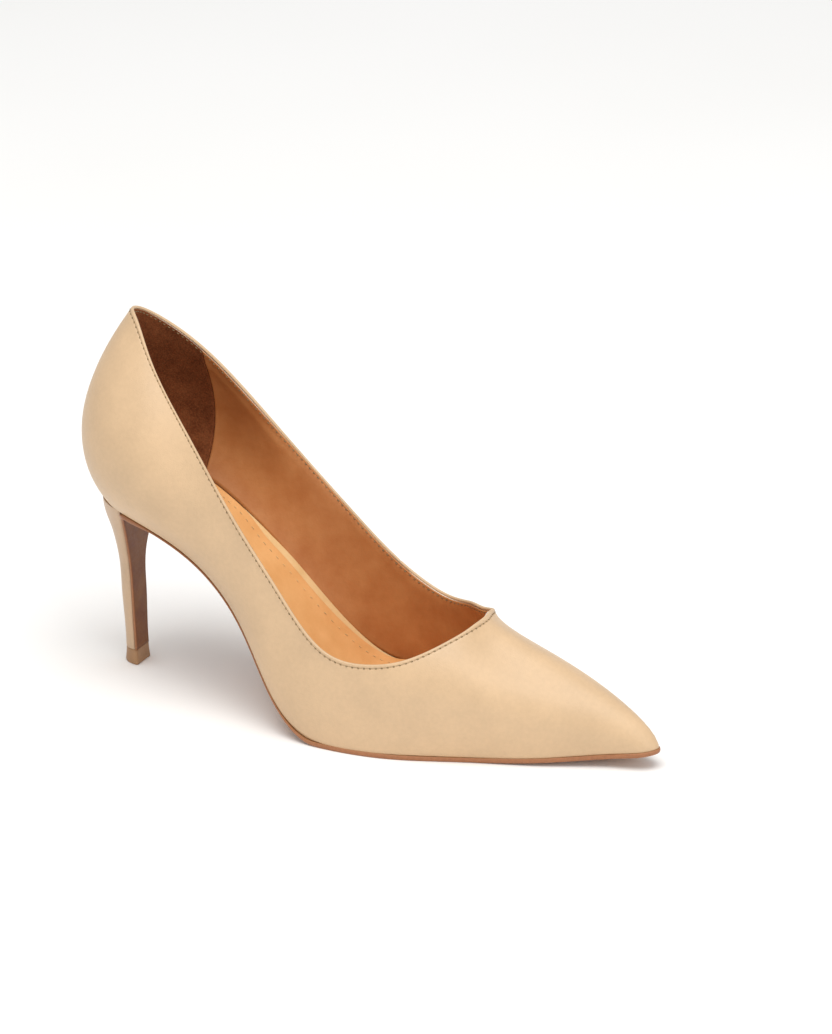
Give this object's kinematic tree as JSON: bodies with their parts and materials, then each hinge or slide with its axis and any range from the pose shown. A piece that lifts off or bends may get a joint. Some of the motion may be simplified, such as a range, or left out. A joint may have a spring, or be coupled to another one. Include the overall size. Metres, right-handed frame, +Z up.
{
  "type": "high heel pump",
  "caption": "Pointed-toe pump with a smooth leather upper, padded sock and a slim leather-covered stiletto heel; right shoe.",
  "frame": {"origin": "middle of the shoe's footprint box, on the floor", "axes": "+X from heel to toe, +Y to the inner (medial) side of the foot, +Z up"},
  "size_m": [0.233, 0.0765, 0.1432],
  "materials": {
    "upper_leather": "smooth aniline-finished calf, soft sheen, nude beige",
    "tape": "woven cotton tape",
    "thread": "bonded polyester thread, taupe",
    "lining_leather": "smooth vegetable-tanned lining leather, tan",
    "suede": "suede, dark brown",
    "stiffener": "resin-filled non-woven sheet",
    "fibreboard": "pressed cellulose insole board",
    "foam": "latex foam",
    "steel": "cold-rolled steel",
    "cork": "cork and binder filler",
    "cover_leather": "thin smooth leather, pale tan",
    "sock_leather": "smooth sheepskin, tan",
    "sock_thread": "fine thread, tan",
    "sole_leather": "waxed sole leather, brown edge",
    "heel_plastic": "moulded ABS",
    "heel_leather": "thin smooth calf stretched over the heel, nude beige",
    "top_piece_polyurethane": "moulded polyurethane, brown, matte"
  },
  "bodies": {
    "root": {"upper": "upper_leather", "side_seam_tape": "tape", "topline_tape": "tape", "topline_stitching": "thread", "forepart_lining": "lining_leather", "heel_lining": "suede", "heel_counter": "stiffener", "toe_puff": "stiffener", "insole_board": "fibreboard", "shank_board": "fibreboard", "ball_cushion": "foam", "steel_shank": "steel", "shank_rivets": "steel", "bottom_filler": "cork", "insole_cover": "cover_leather", "heel_cushion": "foam", "sock": "sock_leather", "sock_stitching": "sock_thread", "outsole": "sole_leather", "heel_core": "heel_plastic", "heel_cover": "heel_leather", "heel_steel_tube": "steel", "top_piece": "top_piece_polyurethane", "top_piece_pin": "steel", "heel_screw": "steel", "heel_nails": "steel"}
  },
  "joints": []
}
